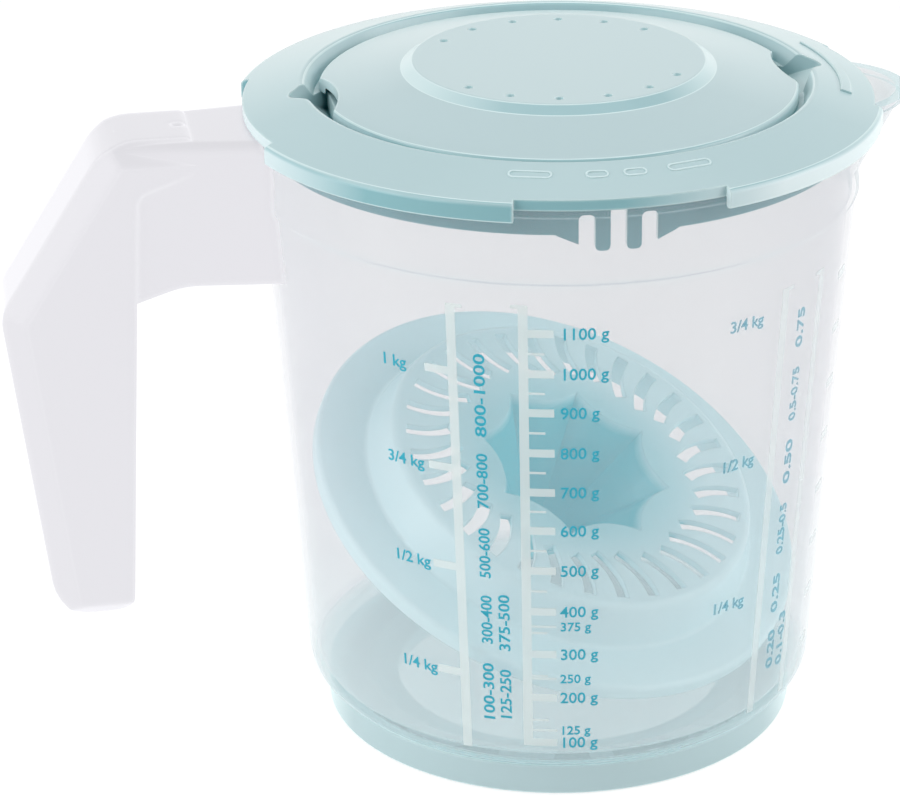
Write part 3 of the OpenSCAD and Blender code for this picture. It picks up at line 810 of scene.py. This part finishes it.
class JUG_OT_insert(Operator):
    """Gives the juicer its translucent mint plastic"""

    bl_idname = "jug.insert"
    bl_label = "Juicer"

    def execute(self, context):
        finishes = context.scene.jug_finishes
        place = Vector(JUICER_PLACE)
        turn = Euler((0, JUICER_TILT, JUICER_TURN))
        axis = turn.to_matrix() @ Vector((0, 0, 1))
        mouth = max((point.co - place).dot(axis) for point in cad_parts["juicer"].data.vertices)
        tones = (finishes.insert, finishes.hollow, finishes.insert_glow)
        dress("juicer", tinted_plastic("mint_insert", *tones, place, turn, mouth))
        return {"FINISHED"}


class JUG_OT_gram_scale(Operator):
    """Prints the gram and kilo scale: two bars, ticks, plain numbers and ranges"""

    bl_idname = "jug.gram_scale"
    bl_label = "Gram and kilo scale"

    def execute(self, context):
        sizes = context.scene.jug_scales
        finishes = context.scene.jug_finishes
        bars = WallPrint("scale_bars")
        numbers = WallPrint("scale_numbers")
        bars.bar(sizes.kilo_bar, KILO_BAR, hook=1)
        bars.bar(sizes.gram_bar, GRAM_BAR, hook=-1)
        edge = sizes.bar_width / 2
        far = edge + sizes.tick_long
        for i, (grams, height) in enumerate(GRAM_LINES):
            bars.tick(sizes.gram_bar, edge, far, height, sizes.tick_bold)
            numbers.number(f"{grams} g", sizes.gram_numbers, height, sizes.number_height)
            if i + 1 < len(GRAM_LINES):
                between = (height + GRAM_LINES[i + 1][1]) / 2
                bars.tick(sizes.gram_bar, edge, edge + sizes.tick_short, between, sizes.tick_fine)
        for grams, height in GRAM_EXTRAS:
            bars.tick(sizes.gram_bar, edge, far, height, sizes.tick_fine)
            numbers.number(f"{grams} g", sizes.gram_numbers, height, sizes.small_height)
        for kilos, height in KILO_LINES:
            bars.tick(sizes.kilo_bar, -far, -edge, height, sizes.tick_bold)
            numbers.number(f"{kilos} kg", sizes.kilo_numbers, height, sizes.number_height)
        numbers.climbing(sizes.gram_ranges, GRAM_RANGES)
        numbers.climbing(sizes.gram_notes, GRAM_NOTES)
        bars.add(printed_ink("pale_ink", finishes.bars, finishes.bar_glow, cover=0.5))
        numbers.add(printed_ink("turquoise_ink", finishes.ink, finishes.ink_glow, cover=0.86))
        return {"FINISHED"}


class JUG_OT_second_scale(Operator):
    """Prints the second scale: faint bars, ticks, plain numbers and ranges"""

    bl_idname = "jug.second_scale"
    bl_label = "Second scale"

    def execute(self, context):
        sizes = context.scene.jug_scales
        finishes = context.scene.jug_finishes
        bars = WallPrint("second_bars")
        numbers = WallPrint("second_numbers")
        for kilos, height in SECOND_LINES:
            numbers.number(f"{kilos} kg", sizes.second_numbers, height, sizes.number_height)
        numbers.climbing(sizes.second_ranges, SECOND_RANGES)
        numbers.climbing(sizes.second_notes, SECOND_NOTES)
        bars.bar(sizes.second_bar, SECOND_BAR, hook=1)
        bars.bar(sizes.third_bar, SECOND_BAR, hook=-1)
        for height in SECOND_TICKS:
            bars.tick(sizes.second_ticks, 0, sizes.tick_long, height, sizes.tick_bold)
        bars.add(printed_ink("faint_ink", finishes.bars, finishes.bar_glow, cover=0.3))
        numbers.add(printed_ink("light_ink", finishes.ink, finishes.ink_glow, cover=0.44))
        return {"FINISHED"}


class JUG_OT_stage(Operator):
    """Sets up the camera, the lamps, the sky and the pale floor"""

    bl_idname = "jug.stage"
    bl_label = "Studio"

    def execute(self, context):
        scene = context.scene
        studio = scene.jug_studio
        scene.view_settings.view_transform = "Standard"
        scene.cycles.transparent_max_bounces = CLEAR_LAYERS

        camera = bpy.data.cameras.new("studio_camera")
        camera.lens = studio.lens
        camera.sensor_width = SENSOR_WIDTH
        camera.shift_x = studio.shift
        camera.clip_start = NEAREST
        scene.camera = self.stand(scene, camera, studio.camera_place, studio.camera_aim)

        for name, place, size in LAMPS:
            lamp = bpy.data.lights.new(name, "AREA")
            lamp.size = size
            lamp.energy = getattr(studio, name)
            self.stand(scene, lamp, place, LAMP_AIM)

        self.sky(scene, studio.sky)
        self.floor(scene, studio.floor)
        return {"FINISHED"}

    def stand(self, scene, data, place, aim):
        """Stands a camera or a lamp at a place and turns it to its aim."""
        holder = bpy.data.objects.new(data.name, data)
        holder.location = place
        holder.rotation_euler = (Vector(aim) - Vector(place)).to_track_quat("-Z", "Y").to_euler()
        scene.collection.objects.link(holder)
        return holder

    def seen(self, tree):
        """1 for what the eye sees directly, mirrored or through clear plastic, and 0 for light."""
        path = tree.nodes.new("ShaderNodeLightPath")
        total = path.outputs["Is Camera Ray"]
        for name in ("Is Glossy Ray", "Is Transmission Ray"):
            add = tree.nodes.new("ShaderNodeMath")
            add.operation = "ADD"
            add.use_clamp = True
            tree.links.new(total, add.inputs[0])
            tree.links.new(path.outputs[name], add.inputs[1])
            total = add.outputs["Value"]
        return total

    def show(self, tree, lighting, shown, out):
        """Sends one shader to the light and another to the eye."""
        mix = tree.nodes.new("ShaderNodeMixShader")
        tree.links.new(self.seen(tree), mix.inputs[0])
        tree.links.new(lighting.outputs[0], mix.inputs[1])
        tree.links.new(shown.outputs[0], mix.inputs[2])
        tree.links.new(mix.outputs[0], out.inputs["Surface"])

    def sky(self, scene, strength):
        """White to the eye, a soft light to the object that is weaker from the front."""
        world = scene.world or bpy.data.worlds.new("studio_sky")
        scene.world = world
        world.use_nodes = True
        tree = world.node_tree
        tree.nodes.clear()
        white = tree.nodes.new("ShaderNodeBackground")
        white.inputs["Color"].default_value = (1, 1, 1, 1)
        white.inputs["Strength"].default_value = 1
        light = tree.nodes.new("ShaderNodeBackground")
        light.inputs["Color"].default_value = SKY_COLOUR
        place = tree.nodes.new("ShaderNodeTexCoord")
        split = tree.nodes.new("ShaderNodeSeparateXYZ")
        tree.links.new(place.outputs["Generated"], split.inputs["Vector"])
        level = tree.nodes.new("ShaderNodeMapRange")
        level.inputs["From Min"].default_value = SKY_SPAN[0]
        level.inputs["From Max"].default_value = SKY_SPAN[1]
        level.inputs["To Min"].default_value = SKY_SHARES[0] * strength
        level.inputs["To Max"].default_value = SKY_SHARES[1] * strength
        tree.links.new(split.outputs["Y"], level.inputs["Value"])
        tree.links.new(level.outputs["Result"], light.inputs["Strength"])
        self.show(tree, light, white, tree.nodes.new("ShaderNodeOutputWorld"))

    def floor(self, scene, colour):
        """A pale floor that looks white and keeps the jug's soft shadow."""
        mesh = bpy.data.meshes.new("studio_floor")
        below = CAD_BOX[0][2] - FLOOR_GAP
        far = FLOOR_REACH
        corners = [(-far, -far, below), (far, -far, below), (far, far, below), (-far, far, below)]
        mesh.from_pydata(corners, [], [(0, 1, 2, 3)])
        floor = bpy.data.objects.new("studio_floor", mesh)
        scene.collection.objects.link(floor)
        material = bpy.data.materials.new("pale_floor")
        material.use_nodes = True
        tree = material.node_tree
        tree.nodes.clear()
        plain = tree.nodes.new("ShaderNodeBsdfDiffuse")
        plain.inputs["Color"].default_value = (*colour, 1)
        shade = tree.nodes.new("ShaderNodeBsdfDiffuse")
        shade.inputs["Color"].default_value = [c * FLOOR_SHADE for c in colour] + [1]
        glow = tree.nodes.new("ShaderNodeEmission")
        glow.inputs["Strength"].default_value = FLOOR_GLOW
        both = tree.nodes.new("ShaderNodeAddShader")
        tree.links.new(shade.outputs[0], both.inputs[0])
        tree.links.new(glow.outputs[0], both.inputs[1])
        self.show(tree, plain, both, tree.nodes.new("ShaderNodeOutputMaterial"))
        mesh.materials.append(material)


GROUPS = {
    "jug_finishes": JugFinishes,
    "jug_scales": ScaleSizes,
    "jug_marks": MarkSizes,
    "jug_studio": StudioSizes,
}
OPERATORS = (
    JUG_OT_beaker, JUG_OT_handle, JUG_OT_foot, JUG_OT_lid, JUG_OT_lid_marks, JUG_OT_insert,
    JUG_OT_gram_scale, JUG_OT_second_scale, JUG_OT_stage,
)


class JUG_PT_dresser(Panel):
    """Lists the jug's pieces and its studio"""

    bl_label = "Measuring jug"
    bl_idname = "JUG_PT_dresser"
    bl_space_type = "VIEW_3D"
    bl_region_type = "UI"
    bl_category = "Jug"

    def draw(self, context):
        for operator in OPERATORS:
            self.layout.operator(operator.bl_idname)
        for group in GROUPS:
            values = getattr(context.scene, group)
            box = self.layout.box()
            for name in values.__annotations__:
                box.prop(values, name)


CLASSES = (*GROUPS.values(), *OPERATORS, JUG_PT_dresser)


def register():
    """Makes the classes known and gives each scene the jug's values."""
    for each in CLASSES:
        bpy.utils.register_class(each)
    for name, group in GROUPS.items():
        setattr(bpy.types.Scene, name, PointerProperty(type=group))


def unregister():
    """Takes back what register made."""
    for name in GROUPS:
        delattr(bpy.types.Scene, name)
    for each in reversed(CLASSES):
        bpy.utils.unregister_class(each)


def main():
    """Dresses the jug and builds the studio."""
    register()
    bpy.ops.jug.beaker()
    bpy.ops.jug.handle()
    bpy.ops.jug.foot()
    bpy.ops.jug.lid()
    bpy.ops.jug.lid_marks()
    bpy.ops.jug.insert()
    bpy.ops.jug.gram_scale()
    bpy.ops.jug.second_scale()
    bpy.ops.jug.stage()


if __name__ == "__main__":
    main()
